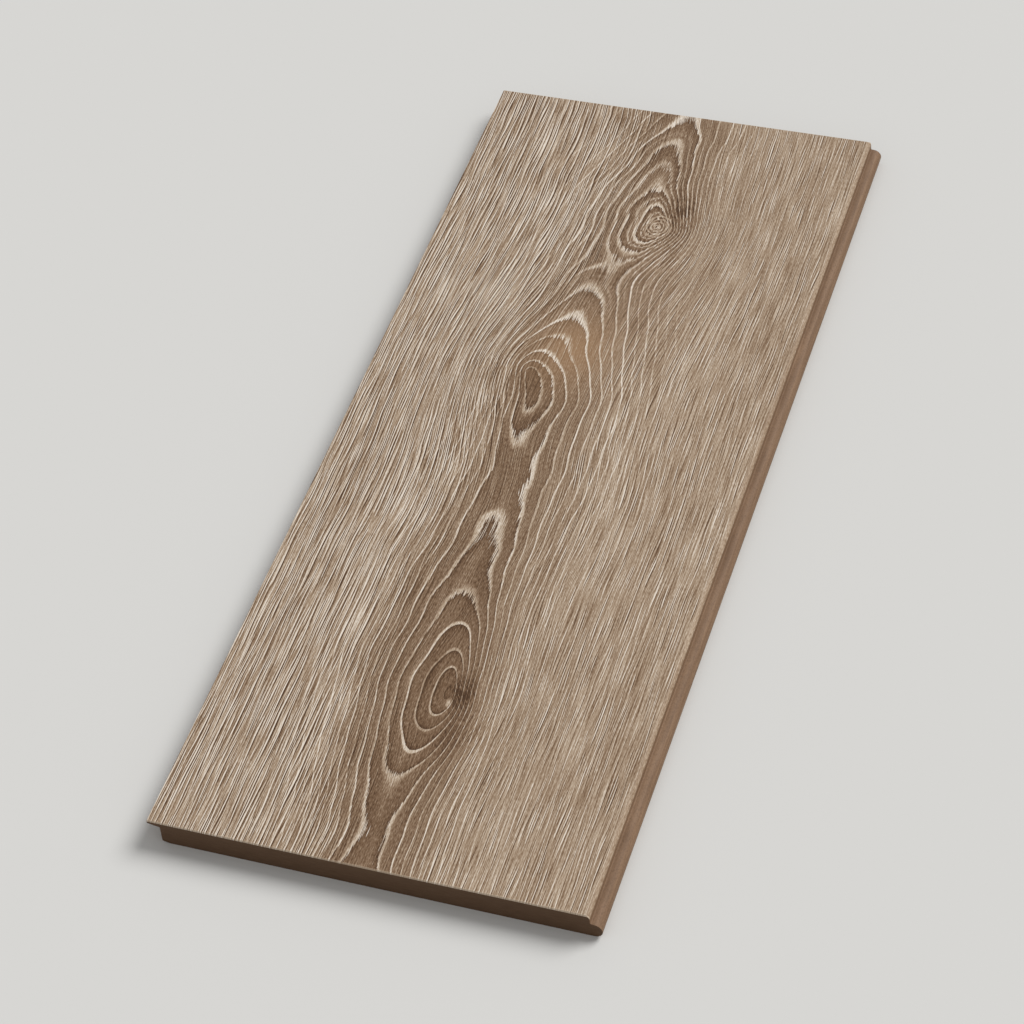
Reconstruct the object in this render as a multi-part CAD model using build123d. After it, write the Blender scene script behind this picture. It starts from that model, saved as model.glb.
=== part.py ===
from build123d import *
import os

# Vinyl floor plank: one rigid moulded piece with a flat face and plain square-cut ends.
# A thin lip overhangs its left long edge, and a rounded tongue runs along its right one.
# Laid side by side, each plank's lip laps over the tongue of the next.
# X is the width, Y the length and Z is up. The origin is at the bottom centre of its box.
# All sizes are in millimetres.

# Whole plank
face_width = 120.0
plank_length = 300.0
thickness = 8.0

# Lip on the left edge: how thick it is at its tip and where it leaves the body
lip_tip = 0.9
lip_root = 1.7

# Rebate under the lip: its inner corner, and how far its wall leans out on the way down
rebate_corner = 0.3
rebate_lean = 0.2

# Bevel where the rebate's wall meets the underside
bevel_width = 2.2
bevel_height = 0.6

# Right edge: the eased edge of the face, and the cove at the foot of the short wall below it
edge_ease = 1.2
cove_radius = 0.4

# Tongue: its reach from the wall, the flat shelf beside the cove and the shelf's depth
tongue_reach = 3.2
shelf_flat = 0.4
shelf_drop = 3.1

# Room between a tongue and the rebate's wall of the next plank
joint_gap = 0.1

# Bevel on the face at both square-cut ends
end_bevel = 0.3

# Places that follow from those sizes
lip_x = -(face_width + tongue_reach) / 2
edge_x = lip_x + face_width
nose_x = edge_x + cove_radius + shelf_flat
shelf_z = thickness - shelf_drop
nose_z = shelf_z / 2
rebate_z = thickness - lip_root
lean_at_nose = rebate_lean * (rebate_z - nose_z) / (rebate_z - bevel_height)
wall_top_x = lip_x + tongue_reach + joint_gap + lean_at_nose
wall_foot_x = wall_top_x - rebate_lean


def edge_profile():
    """Cross-section of the plank: lip and rebate on the left, and the tongue, whose nose is
    half an ellipse, on the right."""
    with BuildSketch(Plane.XZ) as section:
        with BuildLine():
            nose = EllipticalCenterArc(
                (nose_x, nose_z), edge_x + tongue_reach - nose_x, nose_z, -90, arc_size=180
            )
            FilletPolyline(
                nose @ 1,
                (edge_x, shelf_z),
                (edge_x, thickness),
                (lip_x, thickness),
                (lip_x, thickness - lip_tip),
                (wall_top_x, rebate_z),
                (wall_foot_x, bevel_height),
                (wall_foot_x + bevel_width, 0),
                nose @ 0,
                radius=(cove_radius, edge_ease, 0, 0, rebate_corner, 0, 0),
            )
        make_face()
    return section.sketch


def end_wedge():
    """Prism that takes the sharp edge off the face at the far end."""
    end_y = plank_length / 2
    outline = Polyline(
        (end_y - end_bevel, thickness),
        (end_y, thickness),
        (end_y, thickness - end_bevel),
        close=True,
    )
    return extrude(Plane.YZ * make_face(outline), face_width, both=True)


plank = extrude(edge_profile(), plank_length / 2, both=True)
plank -= end_wedge()
plank -= mirror(end_wedge(), about=Plane.XZ)

os.makedirs("parts", exist_ok=True)
export_step(plank, "parts/plank.step")
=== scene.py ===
import bpy
import numpy as np
from mathutils import Matrix, Vector


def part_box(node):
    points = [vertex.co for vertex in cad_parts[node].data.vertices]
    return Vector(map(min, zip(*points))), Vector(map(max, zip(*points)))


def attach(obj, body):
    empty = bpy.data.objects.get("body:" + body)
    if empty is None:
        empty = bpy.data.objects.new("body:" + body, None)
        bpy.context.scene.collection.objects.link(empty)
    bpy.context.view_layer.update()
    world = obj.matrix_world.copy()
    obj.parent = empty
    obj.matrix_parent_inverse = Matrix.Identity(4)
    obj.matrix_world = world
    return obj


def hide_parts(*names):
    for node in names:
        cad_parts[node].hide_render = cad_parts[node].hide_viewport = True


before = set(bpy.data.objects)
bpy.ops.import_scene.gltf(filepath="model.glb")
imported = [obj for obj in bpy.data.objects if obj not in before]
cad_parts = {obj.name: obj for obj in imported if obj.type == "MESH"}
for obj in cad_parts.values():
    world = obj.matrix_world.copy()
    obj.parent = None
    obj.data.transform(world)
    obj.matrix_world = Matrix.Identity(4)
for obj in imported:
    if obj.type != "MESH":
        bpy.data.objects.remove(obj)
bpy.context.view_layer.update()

# Vinyl floor plank: a limed-oak print, embossed along its grain, on a brown moulded core.
# The formulas for the main rings and the two coarser sets of lines serve twice: on numpy arrays they
# shape the embossed face, and on shader sockets they draw the print. Thin rings, dashes, pores and
# the finest lines are print only.
# Sizes are in millimetres up to the mesh, which is in metres like everything in the frame.

plank_low, plank_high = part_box("plank")

MM = 0.001
PLANK_LENGTH = (plank_high[1] - plank_low[1]) / MM
THICKNESS = (plank_high[2] - plank_low[2]) / MM
LIP_X = plank_low[0] / MM
TIP_X = plank_high[0] / MM

# Section of the plank
TONGUE_REACH = 3.2
EDGE_X = TIP_X - TONGUE_REACH
LIP_TIP = 0.9
LIP_ROOT = 1.7
REBATE_CORNER = 0.3
REBATE_LEAN = 0.2
BEVEL_WIDTH = 2.2
BEVEL_HEIGHT = 0.6
EDGE_EASE = 1.2
COVE_RADIUS = 0.4
SHELF_FLAT = 0.4
SHELF_DROP = 3.1
JOINT_GAP = 0.1
END_BEVEL = 0.3

# Grid of the embossed face, and of the rest of the section
FACE_COLUMNS = 450
ROWS = 194
ARC_STEPS = 8

# Emboss: how many of the line layers it has, how deep the limed rings and lines go, the ring by which
# it has died out and the one from which it fades, and the width over which it dies out at the edges
EMBOSSED_LAYERS = 2
RING_DEPTH = 0.07
LINE_DEPTH = 0.08
RING_FADE = (15.0, 9.0)
SIDE_FADE = 0.6
END_FADE = 4.0

# Limed lines along the grain, in lanes: pitch, half width of a line, turns of its fading to a
# millimetre, and its strength left of the figure's middle and right of it
LINE_LAYERS = (
    (1.70, 0.17, 0.065, 1.15, 0.34),
    (1.05, 0.13, 0.120, 1.10, 0.50),
    (0.62, 0.10, 0.210, 0.95, 0.70),
)

# Growth rings, in millimetres across from the lip and along from the near end. The rise is the age
# of the wood at the pith away from the knots, and the round how blunt the rings' arches are there.
# The pith's line has a middle, a sway to both sides with its turns to a millimetre and its start, and
# a lean to the right that grows along a span past the far knot.
# A knot's reach is how far its rings spread to the left, to the right, up and down the plank, its
# tilt how far they slant to the left on the way up, its depth how much younger its core is, and
# first the number of its innermost ring. The tilt's reach is how far from the core it lasts. The
# knots go from the far one over the middle one to the near one; the last lies beyond the near end.
HEART_RISE = 28.0
HEART_ROUND = 17.0
PITH_MIDDLE = 54.0
PITH_SWAY = 8.0
PITH_TURNS = 0.033
PITH_START = -0.9
PITH_LEAN = 11.0
PITH_LEAN_SPAN = (250.0, 290.0)
TILT_REACH = 16.0
KNOTS = (
    dict(across=65.8, along=248.0, reach=(13.0, 45.0, 33.0, 25.0), tilt=0.0, depth=25.0, first=6.0),
    dict(across=47.0, along=179.5, reach=(35.0, 20.0, 35.0, 100.0), tilt=0.4, depth=28.0, first=4.0),
    dict(across=63.0, along=59.5, reach=(25.0, 30.0, 90.0, 60.0), tilt=0.1, depth=36.0, first=1.0),
    dict(across=57.0, along=-40.0, reach=(20.0, 20.0, 60.0, 60.0), tilt=0.0, depth=38.5, first=0.0),
)
# Thin rings round the far knot: place across and along, half size across and along
THIN_RINGS = (60.0, 252.0, 22.0, 36.0)
# Curl at the heart of the far knot: place across and along, spacing of its turns and its radius
CURL = (66.2, 248.4, 1.15, 5.0)
# Orange wood beside the middle knot: place across and along, half size across and along
ORANGE = (57.0, 191.0, 11.0, 14.0)
# White speck at the core of the near knot: place across and along, half size across and along
SPECK = (63.9, 56.3, 0.7, 1.5)
# Age of the first ring, the width of the next one and how much wider each ring is than the one before
RING_START = -0.5
RING_WIDTH = 1.8
RING_GROWTH = 0.03
# Brown heartwood: the age at which it ends, and at which it is full
HEART_AGES = (25.0, 6.0)
# Figure, the band that holds the arches: its middle and half width, its sway with its turns to a
# millimetre, where it crosses the middle and the span over which it sets in, its lean to the right
# with its span, and the half width over which the left side of the face passes into the right one
FIGURE_MIDDLE = 57.0
FIGURE_HALF = 17.0
FIGURE_SWAY = 5.5
FIGURE_TURNS = 0.042
FIGURE_CROSSING = 215.0
FIGURE_SWAY_SPAN = (105.0, 145.0)
FIGURE_LEAN = 5.0
FIGURE_LEAN_SPAN = (265.0, 295.0)
SIDE_PASSING = 6.0
# Fibres: the half width over which they follow the figure's line and the share that they follow, and
# the half sizes across and along, and the share, by which they part round a knot
FOLLOW_HALF = 38.0
FOLLOW_SHARE = 0.8
PARTING_ACROSS = 15.0
PARTING_ALONG = 22.0
PARTING_SHARE = 0.6
# Slow waves on the rings: height, turns across and along, start
WAVES = (
    (0.25, 0.13, 0.19, 0.0),
    (0.12, -0.21, 0.43, 1.3),
)
# Dark wood beside the knots: place across and along, half size across and along, and depth
SHADES = (
    (60.0, 255.0, 20.0, 34.0, 0.06),
    (71.0, 256.0, 4.5, 7.0, 0.20),
    (74.0, 243.0, 3.0, 12.0, 0.10),
    (53.5, 160.0, 3.0, 6.0, 0.08),
    (50.0, 177.0, 3.0, 6.0, 0.10),
    (66.4, 59.8, 2.9, 5.2, 0.40),
    (67.0, 46.0, 4.0, 7.0, 0.12),
)


class Ink(np.lib.mixins.NDArrayOperatorsMixin):
    """A shader value. Numpy's arithmetic on it adds a Math node for each step."""

    STEPS = {
        np.add: "ADD", np.subtract: "SUBTRACT", np.multiply: "MULTIPLY", np.sqrt: "SQRT",
        np.exp: "EXPONENT", np.sin: "SINE", np.arctan2: "ARCTAN2", np.abs: "ABSOLUTE",
        np.floor: "FLOOR", np.minimum: "MINIMUM", np.maximum: "MAXIMUM",
    }

    def __init__(self, socket):
        self.socket = socket

    def __array_ufunc__(self, step, method, *terms):
        tree = self.socket.id_data
        node = tree.nodes.new("ShaderNodeMath")
        node.operation = self.STEPS[step]
        for slot, term in zip(node.inputs, terms):
            if isinstance(term, Ink):
                tree.links.new(term.socket, slot)
            else:
                slot.default_value = float(term)
        return Ink(node.outputs[0])


def between(value, low, high):
    """0 at or below low, 1 at or above high, and even in between; low may be the larger."""
    return np.minimum(np.maximum((value - low) * (1.0 / (high - low)), 0.0), 1.0)


def bell(off, half):
    """1 in the middle, falling to both sides as exp(-(off / half)^2)."""
    return np.exp(off * off * (-1.0 / half ** 2))


def scatter(number, step):
    """A share from 0 to 1 that jumps from one whole number to the next: what a large sine has
    after the point."""
    wave = np.sin(number * step) * 31.7
    return wave - np.floor(wave)


def pith_line(along):
    """Where the heart of the grain runs: one slow wave from side to side along the plank, and a lean
    to the right past the far knot."""
    lean = between(along, *PITH_LEAN_SPAN) * PITH_LEAN
    return PITH_MIDDLE - np.sin(along * PITH_TURNS + PITH_START) * PITH_SWAY + lean


def figure_line(along):
    """Middle of the band that holds the arches: straight along the near half of the plank, then one
    wave, to the left past the middle knot and to the right past the far one, and a lean to the right."""
    wave = np.sin((along - FIGURE_CROSSING) * FIGURE_TURNS) * between(along, *FIGURE_SWAY_SPAN)
    return wave * FIGURE_SWAY + between(along, *FIGURE_LEAN_SPAN) * FIGURE_LEAN + FIGURE_MIDDLE


def right_share(across):
    """0 left of the figure's middle and 1 right of it, even in between."""
    return between(across - FIGURE_MIDDLE, -SIDE_PASSING, SIDE_PASSING)


def over_reach(step, before, after):
    """A step as a share of one reach if it goes back, and of another if it goes on."""
    return step * (0.5 / after + 0.5 / before) + np.abs(step) * (0.5 / after - 0.5 / before)


def knot_fall(knot, across, along):
    """How far round a knot a point lies, 0 at its core: its distance over the knot's reach on that
    side, so that the lines of equal fall are made of four quarters of ellipses. Near the core they
    slant by the tilt, which dies away up and down the plank as a bell."""
    left, right, up, down = knot["reach"]
    step = along - knot["along"]
    slant = step * bell(step, TILT_REACH) * knot["tilt"]
    over = over_reach(across - knot["across"] + slant, left, right)
    run = over_reach(step, down, up)
    return np.sqrt(over * over + run * run)


def ring_field(across, along):
    """Age of the wood at each point, in millimetres of growth: a trough along the pith with straight
    sides and a round floor, with a funnel, depth times exp(-fall), sunk at each knot, and some slow
    waves on it all. Where funnels meet, the fourth root of their fourth powers joins them."""
    off = across - pith_line(along)
    age = np.sqrt(off * off + HEART_ROUND ** 2) + (HEART_RISE - HEART_ROUND)
    funnels = 0.0
    for knot in KNOTS:
        funnels = funnels + np.exp(knot_fall(knot, across, along) * -4.0) * knot["depth"] ** 4
    age = age - np.sqrt(np.sqrt(funnels))
    for height, turns_across, turns_along, start in WAVES:
        age = age + np.sin(across * turns_across + along * turns_along + start) * height
    return age


def fibre_line(across, along):
    """Place across the plank of the fibre through each point: fibres follow the figure's line, less
    and less towards the sides, wobble by two small waves, and part round the knots."""
    follow = bell(across - FIGURE_MIDDLE, FOLLOW_HALF) * FOLLOW_SHARE
    fibre = across - (figure_line(along) - FIGURE_MIDDLE) * follow
    fibre = fibre + np.sin(along * 0.23 + np.sin(across * 0.37) * 4.0) * 0.11
    fibre = fibre + np.sin(along * 0.085 + across * 0.6) * 0.16
    for knot in KNOTS:
        over = across - knot["across"]
        parting = bell(over, PARTING_ACROSS) * bell(along - knot["along"], PARTING_ALONG)
        fibre = fibre - over * parting * PARTING_SHARE
    return fibre


def ring_count(age):
    """Number of rings up to this age: the n that solves age = start + width n + growth n^2."""
    middle = RING_WIDTH / (2.0 * RING_GROWTH)
    inside = age * (1.0 / RING_GROWTH) + (middle ** 2 - RING_START / RING_GROWTH)
    return np.sqrt(np.maximum(inside, 0.0)) - middle


def ring_weight(count):
    """Some rings are limed more than others."""
    return np.sin(np.floor(count) * 2.4 + 0.7) * 0.22 + 0.78


def ring_groove(count):
    """Groove at each ring's rim, with soft sides: a narrow power of a sine."""
    return (0.5 + 0.5 * np.sin((count + 0.17) * 2.0 * np.pi)) ** 4


def curl_rim(across, along):
    """White coil at the heart of a knot: turns of one spacing round its middle, each a turn's share
    further out by the angle, so that they join into one spiral. It ends at its radius."""
    middle_across, middle_along, spacing, radius = CURL
    over = across - middle_across
    run = (along - middle_along) * 0.85
    reach = np.sqrt(over * over + run * run)
    turn = reach * (1.0 / spacing) + np.arctan2(run, over) * (0.5 / np.pi)
    part = turn - np.floor(turn)
    return between(np.abs(part - 0.5), 0.26, 0.14) * between(reach, radius, radius * 0.8) * 0.7


def heart_share(across, along, age):
    """1 in the brown heartwood and 0 outside it, eased from one to the other by age, and never less
    than a bell across the band that holds the arches."""
    share = between(age, *HEART_AGES)
    band = bell(across - figure_line(along), FIGURE_HALF)
    return np.maximum(share * share * (3.0 - share * 2.0), band * 0.75)


def limed_lines(fibre, along, right, layers):
    """White lime (above 0) with a thin dark line beside it (below 0), the dark line being painted shade
    of the emboss. The fibres lie in lanes, and
    each lane has one line: a bell across it that sways a little, and fades in and out along the
    plank by two slow sines of its own. The strength goes from left to right by the right share."""
    total = 0.0
    for pitch, half, turns, left_strength, right_strength in layers:
        lane = np.floor(fibre * (1.0 / pitch))
        first = scatter(lane, 2.399)
        second = scatter(lane, 5.171)
        third = scatter(lane, 3.717)
        sway = np.sin(along * 0.06 + first * 40.0) * 0.09 + np.sin(along * 0.31 + second * 40.0) * 0.03
        off = fibre - (lane + first * 0.3 + 0.3 + sway) * pitch
        # The lime's bell less a second bell beside it: that second bell is a thin dark line of painted
        # emboss shade.
        line = bell(off, half) - bell(off - half * 1.8, half)
        fade = np.sin(along * (second * turns + turns) + third * 6.3)
        fade = fade + np.sin(along * (third * 2.0 * turns + turns) + first * 6.3) * 0.7
        strength = between(fade, -0.7, 0.6) * (second * 0.6 + 0.4)
        total = total + line * strength * (right * (right_strength - left_strength) + left_strength)
    return total


def arc(centre, radii, start, end):
    """Points of an elliptical arc from one angle to another, in degrees."""
    turn = np.radians(np.linspace(start, end, ARC_STEPS + 1))
    return np.stack([centre[0] + radii[0] * np.cos(turn), centre[1] + radii[1] * np.sin(turn)], axis=1)


def edge_profile():
    """Closed section of the plank as (x, z) points, with the face first, from the lip to the eased
    edge, then the wall, the cove, the shelf, the tongue's half ellipse, the underside, the bevel,
    the rebate's wall with its rounded corner, and the lip's underside."""
    shelf_z = THICKNESS - SHELF_DROP
    nose_x = EDGE_X + COVE_RADIUS + SHELF_FLAT
    nose_z = shelf_z / 2
    rebate_z = THICKNESS - LIP_ROOT
    lean_at_nose = REBATE_LEAN * (rebate_z - nose_z) / (rebate_z - BEVEL_HEIGHT)
    wall_top = np.array([LIP_X + TONGUE_REACH + JOINT_GAP + lean_at_nose, rebate_z])
    wall_foot = np.array([wall_top[0] - REBATE_LEAN, BEVEL_HEIGHT])
    lip_under = np.array([LIP_X, THICKNESS - LIP_TIP])
    face_x = np.linspace(LIP_X, EDGE_X - EDGE_EASE, FACE_COLUMNS + 1)
    face = np.stack([face_x, np.full_like(face_x, THICKNESS)], axis=1)
    ease = arc((EDGE_X - EDGE_EASE, THICKNESS - EDGE_EASE), (EDGE_EASE, EDGE_EASE), 90, 0)[1:]
    cove = arc((EDGE_X + COVE_RADIUS, shelf_z + COVE_RADIUS), (COVE_RADIUS, COVE_RADIUS), 180, 270)
    nose = arc((nose_x, nose_z), (TIP_X - nose_x, nose_z), 90, -90)
    foot = np.array([[wall_foot[0] + BEVEL_WIDTH, 0.0], wall_foot])
    to_foot = (wall_foot - wall_top) / np.linalg.norm(wall_foot - wall_top)
    to_lip = (lip_under - wall_top) / np.linalg.norm(lip_under - wall_top)
    half_turn = np.arccos(to_foot @ to_lip) / 2
    corner_ends = [wall_top + way * REBATE_CORNER / np.tan(half_turn) for way in (to_foot, to_lip)]
    blend = np.linspace(0.0, 1.0, ARC_STEPS + 1)[:, None]
    corner = (1 - blend) ** 2 * corner_ends[0] + 2 * blend * (1 - blend) * wall_top
    corner = corner + blend ** 2 * corner_ends[1]
    return np.concatenate([face, ease, cove, nose, foot, corner, lip_under[None]])


def emboss(x, y):
    """Depth of the relief below the flat face: the limed rings and lines, which die out at the
    edges of the face."""
    across = x - LIP_X
    along = y + PLANK_LENGTH / 2
    age = ring_field(across, along)
    heart = heart_share(across, along, age)
    right = right_share(across)
    lines = limed_lines(fibre_line(across, along), along, right, LINE_LAYERS[:EMBOSSED_LAYERS])
    count = ring_count(age)
    depth = RING_DEPTH * ring_groove(count) * between(count, *RING_FADE)
    depth = depth + LINE_DEPTH * np.clip(lines, 0.0, 1.0) * (1.0 - heart)
    edge = np.minimum(across, EDGE_X - EDGE_EASE - x) / SIDE_FADE
    end = (PLANK_LENGTH / 2 - np.abs(y)) / END_FADE
    return depth * np.clip(np.minimum(edge, end), 0.0, 1.0)


def plank_mesh():
    """The section carried along the plank: a ring of points at each station, lowered on the face by
    the emboss and, at both ends, by the end bevel. Two flat caps close it."""
    section = edge_profile()
    count = len(section)
    inner = np.linspace(-PLANK_LENGTH / 2 + END_BEVEL, PLANK_LENGTH / 2 - END_BEVEL, ROWS)
    stations = np.concatenate([[-PLANK_LENGTH / 2], inner, [PLANK_LENGTH / 2]])
    x = np.tile(section[:, 0], (len(stations), 1))
    y = np.tile(stations[:, None], (1, count))
    z = np.tile(section[:, 1], (len(stations), 1))
    on_face = np.arange(count) <= FACE_COLUMNS
    z[:, on_face] -= emboss(x[:, on_face], y[:, on_face])
    z[[0, -1]] = np.minimum(z[[0, -1]], THICKNESS - END_BEVEL)
    points = np.stack([x, y, z], axis=-1).reshape(-1, 3) * MM

    ids = np.arange(len(stations) * count).reshape(len(stations), count)
    ahead = np.roll(ids, -1, axis=1)
    quads = np.stack([ids[:-1], ahead[:-1], ahead[1:], ids[1:]], axis=-1).reshape(-1, 4)
    caps = [ids[0, ::-1].tolist(), ids[-1].tolist()]
    mesh = bpy.data.meshes.new("plank_face")
    mesh.from_pydata(points.tolist(), [], quads.tolist() + caps)

    column = np.tile(np.arange(count), len(stations) - 1)
    printed = column < FACE_COLUMNS + ARC_STEPS
    finish = np.concatenate([np.where(printed, 0, 1), [1, 1]]).astype(np.int32)
    mesh.polygons.foreach_set("material_index", finish)
    mesh.polygons.foreach_set("use_smooth", np.ones(len(finish), dtype=bool))
    mesh.set_sharp_from_angle(angle=np.radians(28))
    add_bake_map(mesh, section, stations, printed)
    mesh.update()
    return mesh


def add_bake_map(mesh, section, stations, printed):
    """Flat layout of the surface in the unit square: the printed face takes most of it, stretched
    across the grain, and the other faces a strip beside it, with the two caps below that strip."""
    count = len(section)
    walked = np.concatenate([section, section[:1]])
    lengths = np.concatenate([[0.0], np.cumsum(np.linalg.norm(np.diff(walked, axis=0), axis=1))])
    split = FACE_COLUMNS + ARC_STEPS
    face_u = 0.005 + 0.785 * lengths[:-1] / lengths[split]
    rest_u = 0.81 + 0.185 * (lengths - lengths[split]) / (lengths[-1] - lengths[split])
    share = (stations - stations[0]) / (stations[-1] - stations[0])
    column = np.tile(np.arange(count), len(stations) - 1)
    row = np.repeat(np.arange(len(stations) - 1), count)
    left = np.where(printed, face_u[column], rest_u[column])
    next_face = np.append(face_u, face_u[-1])
    right = np.where(printed, next_face[column + 1], rest_u[column + 1])
    bottom = np.where(printed, 0.005 + 0.99 * share[row], 0.31 + 0.685 * share[row])
    top = np.where(printed, 0.005 + 0.99 * share[row + 1], 0.31 + 0.685 * share[row + 1])
    quads = np.stack([left, bottom, right, bottom, right, top, left, top], axis=1).reshape(-1, 2)
    across = (section[:, 0] - LIP_X) / (TIP_X - LIP_X)
    upward = section[:, 1] / THICKNESS
    near_cap = np.stack([0.82 + 0.16 * upward, 0.01 + 0.13 * across], axis=1)[::-1]
    far_cap = np.stack([0.82 + 0.16 * upward, 0.16 + 0.13 * across], axis=1)
    layout = mesh.uv_layers.new(name="OFBake")
    layout.uv.foreach_set("vector", np.concatenate([quads, near_cap, far_cap]).ravel())


def new_material(name):
    """A new material, its Principled shader and the place across, along and up the plank."""
    material = bpy.data.materials.new(name)
    material.use_nodes = True
    tree = material.node_tree
    tree.nodes.clear()
    output = tree.nodes.new("ShaderNodeOutputMaterial")
    shader = tree.nodes.new("ShaderNodeBsdfPrincipled")
    tree.links.new(shader.outputs["BSDF"], output.inputs["Surface"])
    place = tree.nodes.new("ShaderNodeTexCoord")
    parts = tree.nodes.new("ShaderNodeSeparateXYZ")
    tree.links.new(place.outputs["Object"], parts.inputs["Vector"])
    across = Ink(parts.outputs["X"]) * (1.0 / MM) - LIP_X
    along = Ink(parts.outputs["Y"]) * (1.0 / MM) + PLANK_LENGTH / 2
    height = Ink(parts.outputs["Z"]) * (1.0 / MM)
    return material, shader, across, along, height


def noise(u, v, detail=2.0, roughness=0.5, third=0.0):
    """Noise texture between 0 and 1 at the given coordinates."""
    tree = u.socket.id_data
    place = tree.nodes.new("ShaderNodeCombineXYZ")
    for slot, term in zip(place.inputs, (u, v, third)):
        if isinstance(term, Ink):
            tree.links.new(term.socket, slot)
        else:
            slot.default_value = term
    texture = tree.nodes.new("ShaderNodeTexNoise")
    texture.noise_dimensions = "3D" if isinstance(third, Ink) else "2D"
    texture.inputs["Scale"].default_value = 1.0
    texture.inputs["Detail"].default_value = detail
    texture.inputs["Roughness"].default_value = roughness
    tree.links.new(place.outputs[0], texture.inputs["Vector"])
    return Ink(texture.outputs["Fac"])


def linear(red, green, blue):
    """Colour written as 0 to 255 on a screen, as the shader takes it."""
    part = np.array([red, green, blue]) / 255.0
    low = part / 12.92
    high = ((part + 0.055) / 1.055) ** 2.4
    return (*np.where(part <= 0.04045, low, high).tolist(), 1.0)


def mixed(share, first, second):
    """Colour socket between two colours; each is a socket or a colour."""
    tree = share.socket.id_data
    node = tree.nodes.new("ShaderNodeMix")
    node.data_type = "RGBA"
    tree.links.new(share.socket, node.inputs["Factor"])
    for slot, colour in ((node.inputs[6], first), (node.inputs[7], second)):
        if isinstance(colour, tuple):
            slot.default_value = colour
        else:
            tree.links.new(colour, slot)
    return node.outputs[2]


def bumped(height, strength, distance):
    """Normal socket of a bump with this height field."""
    tree = height.socket.id_data
    node = tree.nodes.new("ShaderNodeBump")
    node.inputs["Strength"].default_value = strength
    node.inputs["Distance"].default_value = distance
    tree.links.new(height.socket, node.inputs["Height"])
    return node.outputs["Normal"]


def ramped(value, stops):
    """Colour socket that goes through the stops, each a place from 0 to 1 and a colour."""
    tree = value.socket.id_data
    node = tree.nodes.new("ShaderNodeValToRGB")
    ramp = node.color_ramp
    while len(ramp.elements) < len(stops):
        ramp.elements.new(0.5)
    for element, (place, colour) in zip(ramp.elements, stops):
        element.position = place
        element.color = colour
    tree.links.new(value.socket, node.inputs["Fac"])
    return node.outputs["Color"]


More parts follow.
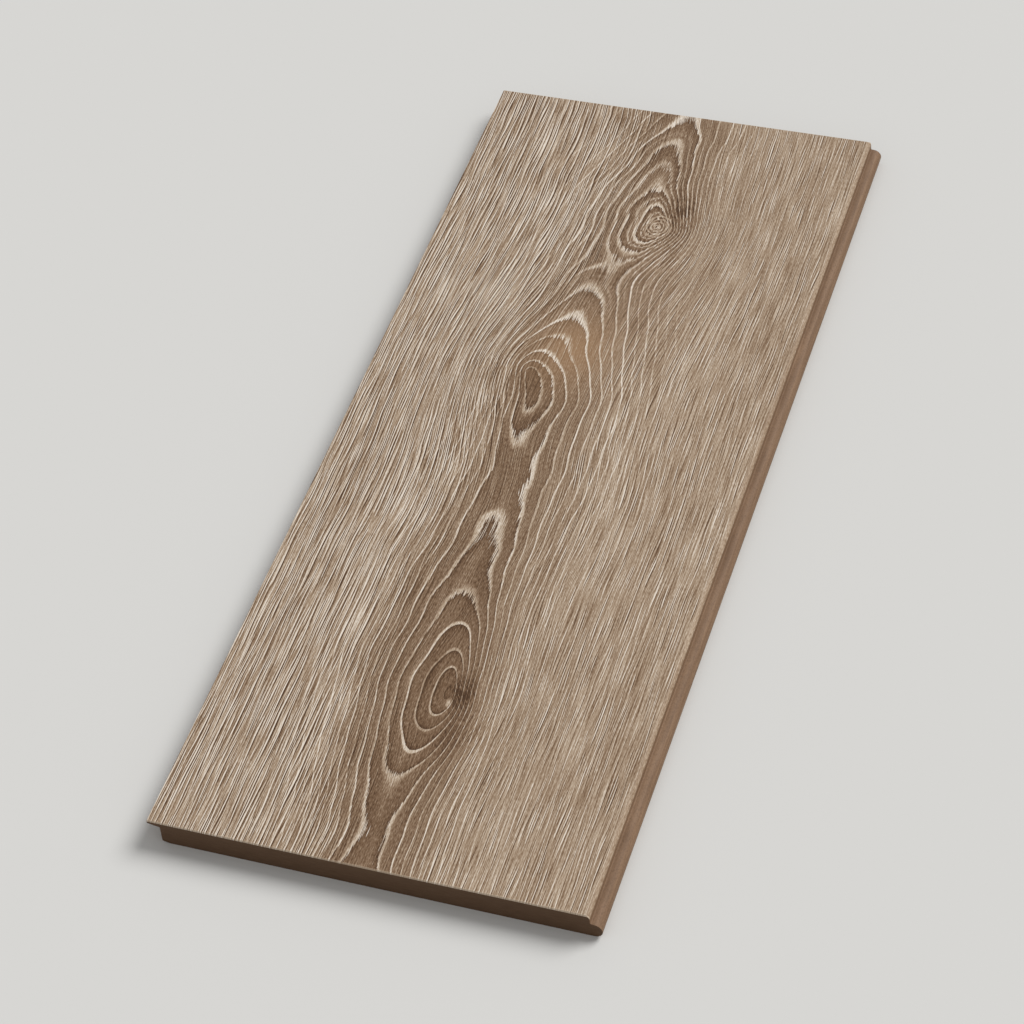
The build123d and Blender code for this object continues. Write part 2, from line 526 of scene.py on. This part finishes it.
def limed_oak_print():
    """The printed face: brown heartwood with sharp limed rings along the middle, paler sapwood with
    white limed lines at both sides, each with a thin dark line of painted emboss shade beside it,
    dark wood by the knots, and a painted highlight on the bevel at both ends."""
    material, shader, across, along, _ = new_material("limed_oak_print")
    tree = material.node_tree
    right = right_share(across)
    arch = bell(across - figure_line(along), 6.0)
    fibre = fibre_line(across, along)

    # Limed lines, fibres finer than those, short pores and broad bands. Right of the figure the
    # lines are broken into dashes, and the eased edge has none.
    lines = limed_lines(fibre, along, right, LINE_LAYERS)
    fine = noise(fibre * 4.2 + 9.0, along * 0.07, 1.0, 0.6) - 0.5
    pores = noise(across * 5.0 + 4.0, along * 0.8, 1.0, 0.5) - 0.5
    hatch = noise(across * 1.3 + along, along * 0.2 - across * 0.15, 1.0, 0.5)
    broad = noise(fibre * 0.16, along * 0.012 + 5.0, 2.0, 0.6) - 0.5
    dashes = between(noise(fibre * 1.7 + 2.0, along * 0.045, 1.0, 0.5), 0.36, 0.64)
    lines = lines * (1.0 - right * 0.45 + right * dashes * 0.9)
    eased = between(across, EDGE_X - LIP_X - EDGE_EASE, EDGE_X - LIP_X - EDGE_EASE * 0.4)
    lines = lines * (1.0 - eased)
    fine = fine * (1.0 - eased * 0.8)

    # Limed rings: a white rim, sharp on both sides, ragged and feathered over the arches, with thin
    # ones halfway between them at the far knot
    age = ring_field(across, along)
    heart = heart_share(across, along, age)
    arch = arch * between(age, 5.0, 8.0)
    count = ring_count(age + fine * arch * 1.3)
    part = count - np.floor(count)
    rim = between(part * (1.0 - arch * 0.5), 0.16, 0.10) * ring_weight(count) * between(count, 18.0, 11.0)
    middle_across, middle_along, half_across, half_along = THIN_RINGS
    close = bell(across - middle_across, half_across) * bell(along - middle_along, half_along)
    halfway = count + 0.5
    halfway = halfway - np.floor(halfway)
    thin = between(halfway, 0.14, 0.08) * between(close, 0.2, 0.6) * 0.8
    rim = np.maximum(rim, thin)
    for knot in KNOTS:
        near = between(knot_fall(knot, across, along), 0.7, 0.5)
        rim = rim * (1.0 - near * between(count, knot["first"], knot["first"] - 0.1))
    feather = np.exp(part * -5.0) * between(fine, -0.1, 0.12) * arch
    rim = np.maximum(rim, curl_rim(across, along))

    # One tone from dark fibre to white lime
    tone = lines * (1.0 - heart * 0.85) * 0.74 + fine * (1.0 - heart * 0.5 - right * 0.3) * 1.3
    tone = tone + pores * (heart * 0.2 + 0.5)
    tone = tone + broad * 0.25 + 0.54 - heart * 0.23
    tone = tone + rim * 0.5 + feather * 0.14
    tone = tone - (part * part * 0.1 + between(part, 0.80, 0.97) * 0.13) * heart
    for place_across, place_along, half_across, half_along, depth in SHADES:
        shade = bell(across - place_across, half_across) * bell(along - place_along, half_along)
        tone = tone - shade * (between(hatch, 0.35, 0.6) * 0.9 + 0.4) * depth
    middle_across, middle_along, half_across, half_along = SPECK
    tone = tone + bell(across - middle_across, half_across) * bell(along - middle_along, half_along) * 0.6

    # The bevel at both ends is lightened towards a pale tone: a painted highlight on the edge
    end = np.minimum(along, PLANK_LENGTH - along)
    painted_bevel_highlight = between(end, END_BEVEL + 0.2, END_BEVEL)
    tone = tone * (1.0 - painted_bevel_highlight * 0.6) + painted_bevel_highlight * 0.5
    colour = ramped(tone, (
        (0.0, linear(72, 49, 30)),
        (0.25, linear(114, 87, 63)),
        (0.5, linear(154, 130, 106)),
        (0.75, linear(193, 174, 152)),
        (1.0, linear(229, 218, 204)),
    ))
    middle_across, middle_along, half_across, half_along = ORANGE
    orange = bell(across - middle_across, half_across) * bell(along - middle_along, half_along)
    colour = mixed(orange * between(tone, 0.75, 0.5) * 0.55, colour, linear(170, 135, 100))
    tree.links.new(colour, shader.inputs["Base Color"])

    shader.inputs["Specular IOR Level"].default_value = 0.22
    gloss = between(tone, 0.2, 0.9) * 0.18 + 0.45
    tree.links.new(gloss.socket, shader.inputs["Roughness"])
    tree.links.new(bumped(fine * -1.0, 0.35, 0.12 * MM), shader.inputs["Normal"])
    return material


def moulded_core():
    """The brown core at the edges, ends and underside: matte, with faint drawn streaks along it
    and a fine speckle, and darker at both cut ends as painted shade."""
    material, shader, across, along, height = new_material("moulded_core")
    tree = material.node_tree
    drawn = noise(across * 0.3, height * 1.9, 3.0, 0.6, along * 0.05)
    speckle = noise(across * 3.0, along * 1.6, 3.0, 0.6, height * 3.0)
    tone = mixed(between(drawn, 0.25, 0.75), linear(112, 86, 64), linear(144, 115, 90))
    tone = mixed(between(speckle, 0.45, 0.75) * 0.5, tone, linear(84, 62, 45))
    # Both cut ends are darkened towards a deep brown: painted shade.
    painted_end_shade = between(np.minimum(along, PLANK_LENGTH - along), 0.1, 0.0)
    tone = mixed(painted_end_shade * 0.65, tone, linear(68, 45, 25))
    tree.links.new(tone, shader.inputs["Base Color"])
    shader.inputs["Roughness"].default_value = 0.6
    shader.inputs["Specular IOR Level"].default_value = 0.2
    tree.links.new(bumped(drawn * 0.6 + speckle * 0.5, 0.25, 0.1 * MM), shader.inputs["Normal"])
    return material


def build_plank():
    """The finished plank in place of the plain solid."""
    plank = bpy.data.objects.new("plank_printed", plank_mesh())
    plank.data.materials.append(limed_oak_print())
    plank.data.materials.append(moulded_core())
    bpy.context.scene.collection.objects.link(plank)
    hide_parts("plank")
    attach(plank, "root")


def build_floor():
    """Plain pale studio floor under the plank."""
    half = 6.0
    mesh = bpy.data.meshes.new("studio_floor")
    corners = [(-half, -half, 0.0), (half, -half, 0.0), (half, half, 0.0), (-half, half, 0.0)]
    mesh.from_pydata(corners, [], [(0, 1, 2, 3)])
    floor = bpy.data.objects.new("studio_floor", mesh)
    material = bpy.data.materials.new("pale_floor")
    material.use_nodes = True
    shader = material.node_tree.nodes["Principled BSDF"]
    shader.inputs["Base Color"].default_value = linear(216, 215, 212)
    shader.inputs["Roughness"].default_value = 0.9
    shader.inputs["Specular IOR Level"].default_value = 0.1
    mesh.materials.append(material)
    bpy.context.scene.collection.objects.link(floor)


# Light: the way to the key lamp, how wide it is seen, and the level of lamp and surround
KEY_WAY = (0.45, 0.55, 0.70)
KEY_WIDTH = 34.0
KEY_LEVEL = 2.5
SURROUND_LEVEL = 0.43


def build_light():
    """Soft key from the right and behind, and an even pale surround."""
    lamp = bpy.data.lights.new("key_light", "SUN")
    lamp.energy = KEY_LEVEL
    lamp.angle = np.radians(KEY_WIDTH)
    key = bpy.data.objects.new("key_light", lamp)
    key.rotation_euler = (-Vector(KEY_WAY)).to_track_quat("-Z", "Y").to_euler()
    bpy.context.scene.collection.objects.link(key)
    world = bpy.data.worlds.new("studio_surround")
    world.use_nodes = True
    background = world.node_tree.nodes["Background"]
    background.inputs["Color"].default_value = (1.0, 1.0, 1.0, 1.0)
    background.inputs["Strength"].default_value = SURROUND_LEVEL
    bpy.context.scene.world = world


# Camera: its place, the way it looks as a bearing from +Y towards +X, its tilt and its roll
CAMERA_PLACE = (0.22595, -0.55665, 0.63118)
CAMERA_BEARING = -23.228
CAMERA_TILT = -47.098
CAMERA_ROLL = -7.189
CAMERA_LENS = 107.09


def build_camera():
    """Camera at the viewing angle of the picture, with a sensor 36 mm wide."""
    bearing, tilt, roll = np.radians([CAMERA_BEARING, CAMERA_TILT, CAMERA_ROLL])
    ahead = Vector((np.sin(bearing) * np.cos(tilt), np.cos(bearing) * np.cos(tilt), np.sin(tilt)))
    level = ahead.cross(Vector((0.0, 0.0, 1.0))).normalized()
    upright = level.cross(ahead)
    right = level * np.cos(roll) + upright * np.sin(roll)
    up = upright * np.cos(roll) - level * np.sin(roll)
    view = Matrix((right, up, -ahead)).transposed().to_4x4()
    view.translation = CAMERA_PLACE
    lens = bpy.data.cameras.new("camera")
    lens.sensor_width = 36.0
    lens.lens = CAMERA_LENS
    camera = bpy.data.objects.new("camera", lens)
    camera.matrix_world = view
    bpy.context.scene.collection.objects.link(camera)
    bpy.context.scene.camera = camera


build_plank()
build_floor()
build_light()
build_camera()
bpy.context.scene.view_settings.view_transform = "Standard"
